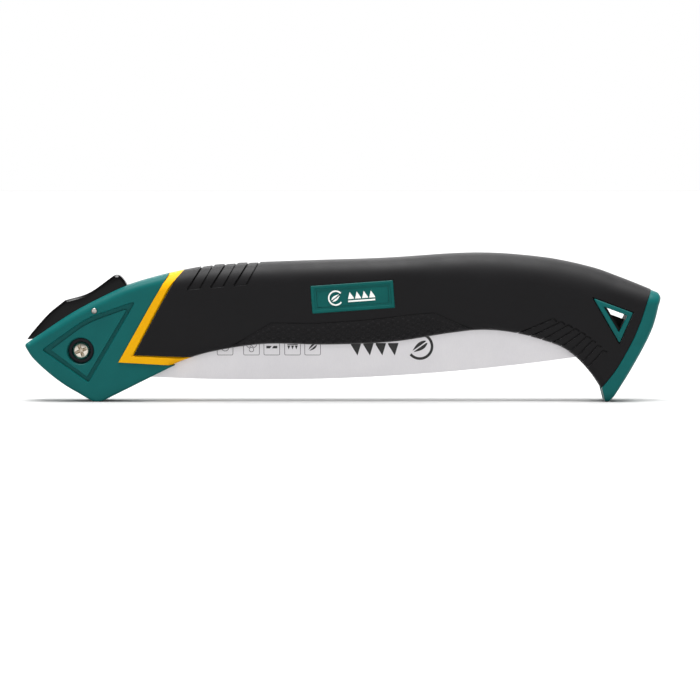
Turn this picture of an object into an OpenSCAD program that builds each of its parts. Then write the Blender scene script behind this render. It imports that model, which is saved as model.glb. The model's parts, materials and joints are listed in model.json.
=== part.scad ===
// Folding pruning saw, folded shut and standing on its long edge.
// The blade's pivot axis is the design origin: +X runs to the butt, +Z is up, Y is the thickness.
// The row origin is the bottom centre of the whole saw, so every sub-part is placed by in_row().

/* [Handle] */
// Half the width of the grip at its widest
grip_half_w = 13; // [12.6:0.1:15]
// Half the width of the head, across both cheeks
head_half_w = 11; // [10.6:0.1:11.4]
// Half the width of the moulded core under the grip
core_half_w = 9.5; // [8.8:0.1:9.8]
// Bevel round the edges of the head
head_bevel = 1.4; // [0.6:0.1:1.8]
// Half the width of the core's upper and lower ribs
core_rib_half_w = 5.5; // [5.2:0.1:6]
// Width of the slot that the blade folds into
slot_w = 2.8; // [2.6:0.1:3.2]
// Width of the pocket for the lock lever
pocket_w = 10; // [9.9:0.1:10.4]

/* [Blade] */
// Thickness of the blade
blade_t = 1.3; // [1.1:0.1:1.4]
// Distance from the pivot to the blade's tip
blade_reach = 252; // [246:1:252]
// Distance between two teeth
tooth_pitch = 4; // [3.6:0.2:5]
// Height of a tooth
tooth_h = 3.2; // [2.4:0.2:3.6]
// Radius of the round tang
tang_r = 14; // [13.9:0.1:14.1]

/* [Pivot] */
// Outer radius of the pivot bushing
bushing_r = 4; // [3.8:0.1:4.2]
// Radius of the pivot screw's shank
screw_r = 2.5; // [2:0.1:2.5]
// Radius of the recess round the screw's head
recess_r = 6.5; // [6.4:0.1:7]
// Radius of the lever pin and of the stop pin
pin_r = 1.5; // [1.2:0.1:1.5]

/* [Lock lever] */
// Width of the lock lever
lever_w = 9.4; // [8.6:0.1:9.4]
// Gap between the lever's tooth and the round of the tang, as drawn
tooth_gap = 0.3; // [0.25:0.05:0.5]

/* [Trim] */
// Length of a badge
badge_l = 40.5; // [30:0.5:42]
// Height of a badge
badge_h = 13.6; // [10:0.2:14]

/* [Hidden] */

$fn = 48;
eps = 0.01;
fit = 0.01;          // radial gap of a pressed pin
running_gap = 0.06;  // radial gap of a turning fit
big = 400;
past = 20;           // beyond either side of the saw

// Ends of the saw, seen from the pivot
nose_x = -27.2;
butt_x = 284.6;
foot_z = -24.9;
row_shift = [-(nose_x + butt_x) / 2, 0, -foot_z];

// Outline of the handle: [x, z] along its top and its lower edge
top_line = [
    [12, 27.3], [24, 32.4], [43, 37.9], [66, 42.1], [102, 43.9], [149, 45.5],
    [194, 48.1], [227, 45.9], [251, 41], [266, 35.7], [butt_x, 28.2]
];
low_line = [
    [8, -24.9], [27, -15.2], [50.7, -4.4], [66, 0], [90, 3.4], [121, 3.1], [153, 4.5],
    [180, 8.6], [196, 10.3], [211, 9.2], [227, 5.2], [239, 0.1], [250.6, -11.2], [259.5, foot_z]
];
// Back of the butt and its joint with the grip: [z, x]
butt_line = [[foot_z, 260], [-8.2, 270.4], [10.4, 280], [24.5, 283.9], [28.2, butt_x]];
joint_line = [
    [-22, 251.5], [-18.5, 255], [-9.2, 262.4], [4.5, 270.2], [13.8, 274.2], [25.6, 278.1], [36, 281.6]
];
// Half-width of the grip along x
width_line = [
    [8, head_half_w + 0.4], [40, head_half_w + 0.8], [70, grip_half_w - 0.4], [110, grip_half_w],
    [200, grip_half_w], [235, grip_half_w - 0.6], [262, grip_half_w - 0.7], [butt_x + 2, grip_half_w - 0.4]
];
// Edge between the green head and the yellow band, and between the band and the black grip
green_edge = [[45.6, 41.5], [43.3, 37.8], [39.2, 30.8], [34.6, 23], [18.6, -5.5], [45.5, -7]];
black_edge = [
    [52.8, 42], [50.4, 39.5], [46.9, 35.6], [43.7, 30.6], [37.4, 19.2], [26, -2.1], [54.5, -3.1]
];
// Head in side view, a convex outline that runs on under the band
head_outline = [
    [nose_x, 2.2], [-23.8, -3.1], [-15.9, -10.6], [-8.1, -16.5], [-0.2, -21.2], [6, foot_z], [10.4, foot_z],
    [54, -3.3], [50, 39.5], [42, 37.7], [23.3, 32.3], [11.5, 27], [-4.2, 18.7], [-19.8, 8.4], [-27, 3.3]
];
// Triangular recess in the head's sides: its edge, and the raised floor inside its groove
recess_outer = [[-18.7, 0.6], [3.9, -15.4], [27, 24.4], [3, 16.2]];
recess_inner = [[-14.5, 0.6], [3.1, -12.7], [23.1, 20.9], [3, 13.6]];
recess_floor_depth = 0.55;
recess_groove_depth = 1.3;

// Lock lever
lever_axis = [6.8, 19.7];
lever_nose = [[-25.9, 6.4], [-23.8, 9.5], [-15.9, 18.4], [-8.1, 24.5]];
lever_pad = [[-8.1, 24.5], [3.7, 28.2], [15.4, 36.3]];
lever_hump = [[17.6, 36.9], [19.4, 36.5], [22.8, 32.4], [21.5, 27.2], [13, 27.2], [12.4, 18]];
lever_belly = [[6.8, 15.7], [-3, 15.9], [-8.8, 13.4]];
lock_angle = 150;      // direction of the lever's tooth from the pivot
lock_drift = 2.2;      // the tooth moves this far round the pivot as it drops
tooth_tip_half = 1.7;
tooth_root_half = 2.2;
notch_depth = 1.8;
pocket_floor = [
    [-32, 2.9], [-16.5, 2.9], [-10.6, 3.2], [-7, 9.6], [0, 13.3], [12, 15.6], [12.4, 17]
];
lever_sweep_r = 20.8;  // the lever's tail turns just inside this radius
spring_x = 16.6;
spring_bottom = 17;
spring_top = 27.18;
spring_r = 2.3;
spring_wire_r = 0.35;
spring_turns = 6;

// Pivot stack along Y, from the screw head on the left to the nut on the right
screw_seat_y = 3.8;    // floor of the screw's recess
nut_seat_y = 5;
washer_t = 0.7;
screw_head_r = 4.5;
screw_head_h = 2.6;
bushing_left = 3.7;
bushing_right = 4.2;
thrust_gap = 0.02;
thrust_r = 7.4;
nut_flat = 8;
nut_h = 3.7;
nut_collar_h = 1.6;
nut_recess_y = 9.2;

// Half-round slot in the tang, in which the stop pin runs
stop_r = 9.3;
stop_angle = 60;
stop_gap = 0.15;

// Blade: its back is one long arc, its toothed edge a shallow hollow curve
spine_r = 1086;
spine_low = [88, -14.5];
tooth_line = [[38, 22.4], [92, 16.8], [145, 14.4], [200, 14.6], [blade_reach, 16.6]];
blade_turn_r = 254.2;  // the slot's far wall

// Lanyard eyelet, from its face inwards: a frame, the frame's opening, the window in the core, the pocket
// in the grip's lining of that window, and the slot through the web between the two pockets
eyelet_outer = [[250.5, 26.7], [264.1, 3.3], [271.1, 19]];
eyelet_inner = [[256.2, 21.9], [263.8, 9.2], [267.9, 17.5]];
eyelet_window = [[254.8, 23.1], [263.9, 7.9], [268.7, 17.8]];
eyelet_pocket = [[258, 21.2], [264.4, 10.5], [267.9, 17.5]];
eyelet_slot = [[258, 21.2], [260.1, 17.7], [266.8, 15.2], [267.9, 17.5]];
eyelet_floor_y = 10.5;
eyelet_web_y = 1.5;

section_t = 1;         // thickness of one section of the grip's body

badge_centre = [133.4, 26.7];
badge_angle = 4.1;
badge_floor_y = grip_half_w - 1.3;
badge_face_y = grip_half_w + 0.2;
badge_rim = 1.6;

// Smooth height at x along a short list of [x, height] points
function piece_of(pts, x, i = 0) = (i >= len(pts) - 2 || x < pts[i + 1][0]) ? i : piece_of(pts, x, i + 1);
function slope_at(pts, i) =
    let (a = max(i - 1, 0), b = min(i + 1, len(pts) - 1))
    (pts[b][1] - pts[a][1]) / (pts[b][0] - pts[a][0]);
function height_at(pts, x) =
    let (
        i = piece_of(pts, x),
        p = pts[i],
        q = pts[i + 1],
        w = q[0] - p[0],
        t = (x - p[0]) / w
    )
    p[1] * (2 * t ^ 3 - 3 * t ^ 2 + 1) + slope_at(pts, i) * w * (t ^ 3 - 2 * t ^ 2 + t)
    + q[1] * (3 * t ^ 2 - 2 * t ^ 3) + slope_at(pts, i + 1) * w * (t ^ 3 - t ^ 2);
function steps(a, b, n) = [for (i = [0:n]) a + (b - a) * i / n];
function flipped(pts) = [for (p = pts) [p[1], p[0]]];
function reversed(pts) = [for (i = [len(pts) - 1:-1:0]) pts[i]];
function polar(r, a) = r * [cos(a), sin(a)];
// The joint between the grip and the butt, at the same heights for every part that meets it
function joint_points(low, high) = [for (z = [low:2:high]) [height_at(joint_line, z), z]];
function spine_z(x) = spine_low[1] + (x - spine_low[0]) ^ 2 / (2 * spine_r);

module in_row() translate(row_shift) children();

// A side-view outline made solid from y0 to y1
module slab(y0, y1) translate([0, y1, 0]) rotate([90, 0, 0]) linear_extrude(y1 - y0) children();

// The same on one side of the saw only: outwards or inwards from a half-width y, or between two half-widths
module outwards(side, y) slab(side > 0 ? y : -past, side > 0 ? past : -y) children();

module inwards(side, y) slab(side > 0 ? 0 : -y, side > 0 ? y : 0) children();

module between(side, y0, y1) slab(side > 0 ? y0 : -y1, side > 0 ? y1 : -y0) children();

// A disc or shaft on an axis along Y through the side-view point p
module shaft(p, r, y0, y1) translate([p[0], y1, p[1]]) rotate([90, 0, 0]) cylinder(r = r, h = y1 - y0);

// Side-view regions -----------------------------------------------------------

// All that lies behind an edge line, from the head's side to the butt
module behind(edge) polygon(concat(edge, [[big, edge[len(edge) - 1][1]], [big, edge[0][1]]]));

// The handle's outline drawn in by the covers. As a cutter it runs on past the joint, and leaves no film there.
module under_grip(top_cover, low_cover, past_joint) {
    top = [for (x = steps(14, 275, 40)) [x, height_at(top_line, x) - top_cover]];
    joint = reversed(joint_points(-12, 2 * floor((31 - top_cover) / 2)));
    far = [[big, joint[0][1]], [big, joint[len(joint) - 1][1]]];
    end = past_joint ? concat([joint[0]], far, [joint[len(joint) - 1]]) : joint;
    low = [for (x = steps(250, 22, 36)) [x, height_at(low_line, x) + low_cover]];
    polygon(concat(top, end, low));
}

module behind_joint() {
    polygon(concat([[245, -40], [245, -26]], joint_points(-22, 36), [[282.6, 60], [big, 60], [big, -40]]));
}

module butt_outline() {
    back = [for (z = steps(foot_z, 28.2, 12)) [height_at(butt_line, z), z]];
    polygon(concat([[257.1, foot_z]], back, reversed(joint_points(-18, 30))));
}

// Everything the blade needs while it turns, and the gap between the cheeks
module slot_region() {
    ceiling = [[22, 45], [22, 28.6], [38, 28.6], [92, 22.6], [145, 20.4], [200, 20.6], [253.1, 23.4]];
    wall = [for (a = [4:-2:-8]) polar(blade_turn_r, a)];
    polygon(concat([[-40, -60], [-40, 45]], ceiling, wall, [[250, -60]]));
}

module pocket_region() {
    tail = [for (a = [-7:6:53]) lever_axis + polar(lever_sweep_r, a)];
    polygon(concat(pocket_floor, tail, [[19, 60], [-32, 60]]));
}

// The grip's rounded body, as sections across x joined two by two ------------------

module grip_section(x) {
    top = height_at(top_line, x);
    low = x < 259.5 ? height_at(low_line, x) : height_at(flipped(butt_line), x);
    half_w = height_at(width_line, x);
    mid = (top + low) / 2;
    half_h = (top - low) / 2;
    outline = [
        for (i = [0:31])
        let (a = i * 360 / 32, n = sin(a) > 0 ? 3.2 : 4)
        [
            half_w * sign(cos(a)) * abs(cos(a)) ^ (2 / n),
            mid + half_h * sign(sin(a)) * abs(sin(a)) ^ (2 / n)
        ]
    ];
    translate([x, 0, 0]) rotate([90, 0, 90]) linear_extrude(section_t, center = true) polygon(outline);
}

module grip_body(stations) {
    for (i = [0:len(stations) - 2]) hull() {
        grip_section(stations[i]);
        grip_section(stations[i + 1]);
    }
}

// Core --------------------------------------------------------------------

module core_solid(past_joint = false) {
    slab(-core_half_w, core_half_w) under_grip(9, 5, past_joint);
    slab(-core_rib_half_w, core_rib_half_w) under_grip(3, 2, past_joint);
}

module head_solid() {
    difference() {
        hull() {
            slab(-head_half_w + head_bevel, head_half_w - head_bevel) polygon(head_outline);
            slab(-head_half_w, head_half_w) offset(delta = -head_bevel) polygon(head_outline);
            // The foot stays full width, so that the saw stands on it
            slab(-head_half_w + 0.4, head_half_w - 0.4)
                polygon([[6.4, foot_z], [10, foot_z], [8.2, foot_z + 1]]);
        }
        slab(-big, big) behind(green_edge);
    }
}

module head_recess(side) {
    difference() {
        outwards(side, head_half_w - recess_groove_depth) polygon(recess_outer);
        inwards(side, head_half_w - recess_floor_depth) polygon(recess_inner);
    }
}

module nut_hexagon(flat, y0, y1) {
    translate([0, y1, 0]) rotate([90, 0, 0]) rotate(30) cylinder(r = flat / sqrt(3), h = y1 - y0, $fn = 6);
}

module handle_core() {
    color("darkcyan") in_row() difference() {
        union() {
            head_solid();
            core_solid();
        }
        slab(-slot_w / 2, slot_w / 2) slot_region();
        slab(-pocket_w / 2, pocket_w / 2) pocket_region();
        for (side = [-1, 1]) head_recess(side);
        shaft([0, 0], recess_r, -past, -screw_seat_y);
        shaft([0, 0], recess_r, nut_recess_y, past);
        nut_hexagon(nut_flat + 0.1, nut_seat_y - eps, past);
        shaft([0, 0], screw_r + 0.1, -past, past);
        shaft([0, 0], bushing_r + fit, -past, bushing_right + 0.4);
        shaft([0, 0], recess_r - 0.4, nut_seat_y - washer_t - eps, nut_seat_y);
        shaft(lever_axis, pin_r + fit, -past, past);
        shaft(polar(stop_r, stop_angle), pin_r + fit, -5, past);
        slab(-past, past) polygon(eyelet_window);
    }
}

// The cap seen along X: rounder at the top than at its foot
module butt_profile() {
    half_w = grip_half_w - 0.3;
    top_z = 30.6;
    top_r = 8;
    foot_r = 4;
    translate([-half_w, foot_z + foot_r]) square([2 * half_w, top_z - top_r - foot_z - foot_r]);
    translate([foot_r - half_w, foot_z]) square([2 * (half_w - foot_r), foot_r + eps]);
    translate([top_r - half_w, top_z - top_r - eps]) square([2 * (half_w - top_r), top_r + eps]);
    for (side = [-1, 1]) {
        translate([side * (half_w - foot_r), foot_z + foot_r]) circle(r = foot_r);
        translate([side * (half_w - top_r), top_z - top_r]) circle(r = top_r);
    }
}

module butt_cap() {
    color("darkcyan") in_row() intersection() {
        slab(-big, big) butt_outline();
        translate([200, 0, 0]) rotate([90, 0, 90]) linear_extrude(100) butt_profile();
    }
}

// Soft grip, band, badges and eyelets ----------------------------------------------

grip_stations = concat(steps(18, 54, 4), steps(66, 234, 12), steps(242, 282, 6), [butt_x]);
band_stations = steps(16, 60, 5);

module front_pads() {
    for (i = [0:2]) {
        x = 52.4 + 11.4 * i;
        z = 30.2 + i;
        pad = [[x, z], [x + 6.2, z + 0.6], [x + 15, z + 15.8], [x + 10.2, z + 15.8]];
        for (side = [-1, 1]) outwards(side, grip_half_w - 1.1) polygon(pad);
    }
}

module badge_outline(grow) {
    translate(badge_centre) rotate(badge_angle)
        square([badge_l + 2 * grow, badge_h + 2 * grow], center = true);
}

module grip_skin() {
    difference() {
        grip_body(grip_stations);
        slab(-big, big)
            polygon(concat([[-40, 60], [-40, -60], [54.5, -60]], reversed(black_edge), [[52.8, 60]]));
        slab(-big, big) behind_joint();
        core_solid(past_joint = true);
        slab(-slot_w / 2, slot_w / 2) slot_region();
        front_pads();
    }
}

// The soft grip also fills the core's window, and so holds on to it from both sides
module grip_sleeve() {
    color([0.13, 0.12, 0.13]) in_row() difference() {
        union() {
            grip_skin();
            slab(-eyelet_floor_y + 0.5, eyelet_floor_y - 0.5) polygon(eyelet_window);
        }
        for (side = [-1, 1]) {
            outwards(side, badge_floor_y) badge_outline(0.05);
            outwards(side, eyelet_floor_y) polygon(eyelet_outer);
            outwards(side, eyelet_web_y) polygon(eyelet_pocket);
        }
        slab(-past, past) polygon(eyelet_slot);
    }
}

module accent_band() {
    color("gold") in_row() difference() {
        intersection() {
            grip_body(band_stations);
            slab(-big, big) behind(green_edge);
        }
        slab(-big, big) behind(black_edge);
        core_solid();
        slab(-slot_w / 2, slot_w / 2) slot_region();
    }
}

module badge(side) {
    color("darkcyan") in_row() difference() {
        between(side, badge_floor_y, badge_face_y) badge_outline(0);
        outwards(side, badge_face_y - 0.3) badge_outline(-badge_rim);
    }
}

module badge_left() badge(-1);

module badge_right() badge(1);

module eyelet(side) {
    color("darkcyan") in_row()
        between(side, eyelet_floor_y, grip_half_w - 0.3) difference() {
            offset(delta = -0.05) polygon(eyelet_outer);
            polygon(eyelet_inner);
        }
}

module eyelet_left() eyelet(-1);

module eyelet_right() eyelet(1);

// Pivot ----------------------------------------------------------------------

module pivot_screw() {
    head_y = -screw_seat_y - washer_t;
    color("silver") in_row() difference() {
        union() {
            shaft([0, 0], screw_r, head_y - eps, 9.8);
            shaft([0, 0], screw_head_r, head_y - screw_head_h + 0.9, head_y);
            translate([0, head_y - screw_head_h + 0.9, 0]) rotate([90, 0, 0])
                cylinder(r1 = screw_head_r, r2 = 3.4, h = 0.9);
        }
        // Cross recess
        for (turn = [22, 112]) rotate([0, -turn, 0])
            translate([-2.5, head_y - screw_head_h - 1, -0.5]) cube([5, 3, 1]);
    }
}

module flat_washer(inner, outer, y0, y1) {
    difference() {
        shaft([0, 0], outer, y0, y1);
        shaft([0, 0], inner, y0 - 1, y1 + 1);
    }
}

module screw_washer() {
    color("dimgray") in_row()
        flat_washer(screw_r + 0.1, recess_r - 0.5, -screw_seat_y - washer_t, -screw_seat_y);
}

module nut_washer() {
    color("silver") in_row() flat_washer(screw_r + 0.1, recess_r - 0.5, nut_seat_y - washer_t, nut_seat_y);
}

module pivot_bushing() {
    color("tan") in_row() flat_washer(screw_r + 0.05, bushing_r, -bushing_left, bushing_right);
}

module pivot_nut() {
    collar_y = nut_seat_y + nut_h;
    color("silver") in_row() difference() {
        union() {
            nut_hexagon(nut_flat, nut_seat_y, collar_y);
            shaft([0, 0], 3.7, collar_y - eps, collar_y + nut_collar_h);
        }
        shaft([0, 0], screw_r + fit, 0, 20);
        shaft([0, 0], 3.2, collar_y + 0.3, 20);
    }
}

module nut_lock_ring() {
    collar_y = nut_seat_y + nut_h;
    color("cornflowerblue") in_row()
        flat_washer(screw_r + fit, 3.2 - fit, collar_y + 0.3, collar_y + nut_collar_h);
}

module thrust_washer(side) {
    lo = side > 0 ? blade_t / 2 + thrust_gap : thrust_gap - slot_w / 2;
    hi = side > 0 ? slot_w / 2 - thrust_gap : -thrust_gap - blade_t / 2;
    color("white") in_row() flat_washer(bushing_r + running_gap, thrust_r, lo, hi);
}

module thrust_washer_left() thrust_washer(-1);

module thrust_washer_right() thrust_washer(1);

module stop_pin() {
    color("silver") in_row() shaft(polar(stop_r, stop_angle), pin_r, -4.8, 7);
}

// Lock lever ------------------------------------------------------------------

module lever_pin() {
    color("silver") in_row() shaft(lever_axis, pin_r, -head_half_w + 0.1, head_half_w - 0.1);
}

// One wire wound round Z, with 8 sides and 16 steps a turn
module lever_spring() {
    sides = 8;
    count = spring_turns * 16;
    rise = (spring_top - spring_bottom - 2 * spring_wire_r) / count;
    points = [
        for (i = [0:count], k = [0:sides - 1])
        let (
            a = i * 360 / 16,
            out = spring_r + spring_wire_r * cos(k * 360 / sides),
            up = spring_wire_r * sin(k * 360 / sides)
        )
        [out * cos(a), out * sin(a), spring_wire_r + rise * i + up]
    ];
    walls = [
        for (i = [0:count - 1], k = [0:sides - 1])
        let (a = i * sides + k, b = i * sides + (k + 1) % sides)
        [a, a + sides, b + sides, b]
    ];
    ends = [
        [for (k = [0:sides - 1]) k],
        [for (k = [sides - 1:-1:0]) count * sides + k]
    ];
    color("silver") in_row() translate([spring_x, 0, spring_bottom])
        polyhedron(points = points, faces = concat(walls, ends));
}

// The tooth points at the pivot, and tapers towards its tip
module lever_outline() {
    tip = tang_r + tooth_gap;
    tooth = [
        polar(tip + 1.6, lock_angle) + polar(tooth_root_half, lock_angle - 90),
        polar(tip, lock_angle) + polar(tooth_tip_half, lock_angle - 90),
        polar(tip, lock_angle) + polar(tooth_tip_half, lock_angle + 90),
        polar(tip + 2.6, lock_angle) + polar(tooth_root_half, lock_angle + 90)
    ];
    nose = [for (x = steps(lever_nose[0][0], lever_nose[3][0], 9)) [x, height_at(lever_nose, x)]];
    pad = [for (x = steps(-7, 15.4, 8)) [x, height_at(lever_pad, x)]];
    polygon(concat(nose, pad, lever_hump, lever_belly, tooth, [[-25.4, 6.1]]));
}

module lock_lever() {
    color([0.1, 0.1, 0.1]) in_row() difference() {
        slab(-lever_w / 2, lever_w / 2) lever_outline();
        shaft(lever_axis, pin_r + 0.04, -10, 10);
    }
}

// Blade ---------------------------------------------------------------------------

module notch(angle) {
    floor_r = tang_r - notch_depth;
    polygon([
        polar(floor_r, angle) + polar(2.3, angle - 90),
        polar(tang_r + 1, angle) + polar(2.9, angle - 90),
        polar(tang_r + 1, angle) + polar(2.9, angle + 90),
        polar(floor_r, angle) + polar(2.3, angle + 90)
    ]);
}

module stop_slot() {
    difference() {
        circle(r = stop_r + pin_r + stop_gap);
        circle(r = stop_r - pin_r - stop_gap);
        rotate(stop_angle - 180) translate([-20, 0]) square([40, 20]);
    }
    for (a = [stop_angle - 1, stop_angle + 181]) translate(polar(stop_r, a)) circle(r = pin_r + stop_gap);
}

module blade_outline() {
    first = tooth_line[0][0];
    count = floor((blade_reach - 4 - first) / tooth_pitch);
    teeth = [
        for (i = [0:count - 1], part = [0, 1])
        let (x = first + (i + part / 2) * tooth_pitch)
        [x, height_at(tooth_line, x) + part * tooth_h]
    ];
    spine = [for (x = steps(243, 32, 24)) [x, spine_z(x)]];
    tip = [
        [blade_reach - 4, height_at(tooth_line, blade_reach - 4)], [blade_reach, 17.6],
        [blade_reach - 1, 10], [blade_reach - 3.6, 2], [blade_reach - 6, -2]
    ];
    shoulder = [[8, 11.4], [20, 13.2], [29, 15.4], [34, 19.6]];
    heel = [[29.4, -11.6], [28.5, -9.4], [28.5, -4.4], [26.9, -2.8], [17, -2.8], [13.4, -4.3], [9, -9]];
    polygon(concat(shoulder, teeth, tip, spine, heel));
}

module saw_blade() {
    color("gainsboro") in_row() difference() {
        union() {
            shaft([0, 0], tang_r, -blade_t / 2, blade_t / 2);
            slab(-blade_t / 2, blade_t / 2) blade_outline();
        }
        for (turn = [0, 180]) slab(-blade_t, blade_t) notch(lock_angle + lock_drift + turn);
        slab(-blade_t, blade_t) stop_slot();
        shaft([0, 0], bushing_r + running_gap, -blade_t, blade_t);
    }
}

handle_core();
butt_cap();
grip_sleeve();
accent_band();
badge_left();
badge_right();
eyelet_left();
eyelet_right();
pivot_screw();
screw_washer();
pivot_bushing();
pivot_nut();
nut_lock_ring();
nut_washer();
thrust_washer_left();
thrust_washer_right();
stop_pin();
lever_pin();
lever_spring();
lock_lever();
saw_blade();
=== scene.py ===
"""A folding pruning saw, folded shut: its detailed meshes, materials, floor, lights and camera.

Shapes are drawn in design millimetres: the blade's pivot is the origin, +X runs to the butt, +Z is up and
Y is the thickness, with the saw's left side at -Y. placed() carries a finished piece into the row frame.
"""
import json
import math

import bmesh
import bpy
from mathutils import Matrix, Vector


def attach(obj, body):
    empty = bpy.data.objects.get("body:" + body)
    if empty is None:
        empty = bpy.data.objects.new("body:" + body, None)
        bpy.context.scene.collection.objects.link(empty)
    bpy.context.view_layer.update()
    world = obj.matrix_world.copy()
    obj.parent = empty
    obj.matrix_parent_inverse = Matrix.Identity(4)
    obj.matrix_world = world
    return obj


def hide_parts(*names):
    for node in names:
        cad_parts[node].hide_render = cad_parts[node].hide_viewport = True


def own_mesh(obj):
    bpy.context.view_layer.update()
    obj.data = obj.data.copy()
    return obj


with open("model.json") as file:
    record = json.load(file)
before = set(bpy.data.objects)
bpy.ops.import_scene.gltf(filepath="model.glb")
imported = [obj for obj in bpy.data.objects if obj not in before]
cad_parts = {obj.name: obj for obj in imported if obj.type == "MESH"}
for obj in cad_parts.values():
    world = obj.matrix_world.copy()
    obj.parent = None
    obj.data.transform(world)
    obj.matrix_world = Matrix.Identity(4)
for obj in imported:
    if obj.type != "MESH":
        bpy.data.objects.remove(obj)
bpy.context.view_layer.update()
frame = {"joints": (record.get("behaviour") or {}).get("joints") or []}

HINGE = next(j for j in frame["joints"] if j["name"] == "blade_fold")
MM = 0.001
TO_ROW = Matrix.Translation(Vector(HINGE["pos_m"])) @ Matrix.Scale(MM, 4)

# --- Sizes that the CAD model shares, in mm ---

NOSE_X, BUTT_X, FOOT_Z = -27.2, 284.6, -24.9
GRIP_HALF_W, HEAD_HALF_W = 13.0, 11.0
CORE_HALF_W, RIB_HALF_W = 9.5, 5.5
SLOT_HALF_W, POCKET_HALF_W = 1.4, 5.0
FAR = 60.0              # past the saw's outline in the side view
OUTSIDE = 20.0          # past the saw's sides, where a cutter ends
BEYOND = 400.0          # past the butt
SEAM = 0.12             # gap between two mouldings
CHAMFER = 0.35          # broken edge of a moulding
BAND_CHAMFER = 1.3
CORE_COVER, RIB_COVER = (9, 5), (3, 2)    # grip over the core and its rib, at their top and low edge
CORE_GAP = 0.05
SET_BACK = 0.35         # sides of the butt cap and the eyelets, inside the widest part of the grip

TOP_LINE = [(12, 27.3), (24, 32.4), (43, 37.9), (66, 42.1), (102, 43.9), (149, 45.5),
            (194, 48.1), (227, 45.9), (251, 41), (266, 35.7), (BUTT_X, 28.2)]
LOW_LINE = [(8, FOOT_Z), (27, -15.2), (50.7, -4.4), (66, 0), (90, 3.4), (121, 3.1), (153, 4.5),
            (180, 8.6), (196, 10.3), (211, 9.2), (227, 5.2), (239, 0.1), (250.6, -11.2), (259.5, FOOT_Z)]
# Back of the butt and the joint before it, as (z, x)
BUTT_LINE = [(FOOT_Z, 260), (-8.2, 270.4), (10.4, 280), (24.5, 283.9), (28.2, BUTT_X)]
JOINT_LINE = [(-22, 251.5), (-18.5, 255), (-9.2, 262.4), (4.5, 270.2), (13.8, 274.2),
              (25.6, 278.1), (36, 281.6)]
WIDTH_LINE = [(8, 11.4), (40, 11.8), (70, 12.6), (110, 13), (200, 13), (235, 12.4),
              (262, 12.3), (286.6, 12.6)]
HEAD_TOP = [(NOSE_X, 2.9), (-26.8, 3.6), (-19.8, 8.4), (-4.2, 18.7), (11.5, 27), (23.3, 32.3),
            (42, 37.7), (56, 40.9)]
HEAD_LOW = [(NOSE_X, 2.5), (-26.6, 1.3), (-23.8, -3.1), (-15.9, -10.6), (-8.1, -16.5), (-0.2, -21.2),
            (4.6, -24), (6.6, -24.75), (8.2, FOOT_Z), (9.8, -24.75), (12, -23.9), (45.5, -7.3), (56, -2.2)]
GREEN_EDGE = [(45.6, 41.5), (43.3, 37.8), (39.2, 30.8), (34.6, 23), (18.6, -5.5), (45.5, -7)]
BLACK_EDGE = [(52.8, 42), (50.4, 39.5), (46.9, 35.6), (43.7, 30.6), (37.4, 19.2), (26, -2.1), (54.5, -3.1)]
RECESS_OUTER = [(-18.7, 0.6), (3.9, -15.4), (27, 24.4), (3, 16.2)]
RECESS_INNER = [(-14.5, 0.6), (3.1, -12.7), (23.1, 20.9), (3, 13.6)]

BLADE_HALF_T = 0.65
BLADE_REACH, BLADE_TURN_R, TANG_R = 252.0, 254.2, 14.0
TOOTH_PITCH, TOOTH_H = 4.0, 3.2
TOOTH_LINE = [(38, 22.4), (92, 16.8), (145, 14.4), (200, 14.6), (BLADE_REACH, 16.6)]
SPINE_R, SPINE_LOW = 1086.0, (88, -14.5)
SLOT_CEILING = [(22, 45), (22, 28.6), (38, 28.6), (92, 22.6), (145, 20.4), (200, 20.6), (253.1, 23.4)]

LEVER_AXIS, LEVER_HALF_W = (6.8, 19.7), 4.7
LOCK_ANGLE, LOCK_DRIFT, NOTCH_DEPTH = 150, 2.2, 1.8
STOP_R, STOP_ANGLE, PIN_R = 9.3, 60, 1.5
SCREW_R, BUSHING_R, RECESS_R = 2.5, 4.0, 6.5
SCREW_SEAT_Y, NUT_SEAT_Y, NUT_RECESS_Y = 3.8, 5.0, 9.2
SCREW_HEAD_R, SCREW_HEAD_H, SCREW_DOME_H, SCREW_END_Y = 4.5, 2.6, 1.7, 9.8
WASHER_T, NUT_FLAT, NUT_H, NUT_COLLAR_H = 0.7, 8.0, 3.7, 1.6
BUSHING_LEFT, BUSHING_RIGHT = 3.7, 4.2
THRUST_R, THRUST_Y, THRUST_T = 7.4, 1.025, 0.71
SPRING_X, SPRING_BOTTOM, SPRING_TOP, SPRING_R, WIRE_R, SPRING_TURNS = 16.6, 17.0, 27.18, 2.3, 0.35, 6

BADGE_CENTRE, BADGE_TURN, BADGE_L, BADGE_H = (133.4, 26.7), 4.1, 40.5, 13.6
BADGE_FLOOR_Y, BADGE_FACE_Y, BADGE_RIM, BADGE_SINK, BADGE_MARK = 11.7, 13.2, 1.6, 0.35, 3.4
EYELET_OUTER = [(250.5, 26.7), (264.1, 3.3), (271.1, 19)]
EYELET_INNER = [(256.2, 21.9), (263.8, 9.2), (267.9, 17.5)]
EYELET_WINDOW = [(254.8, 23.1), (263.9, 7.9), (268.7, 17.8)]
EYELET_POCKET = [(258, 21.2), (264.4, 10.5), (267.9, 17.5)]
EYELET_SLOT = [(258, 21.2), (260.1, 17.7), (266.8, 15.2), (267.9, 17.5)]
EYELET_FLOOR_Y, EYELET_WEB_Y = 10.5, 1.5


# --- Curves and outlines ---

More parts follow.
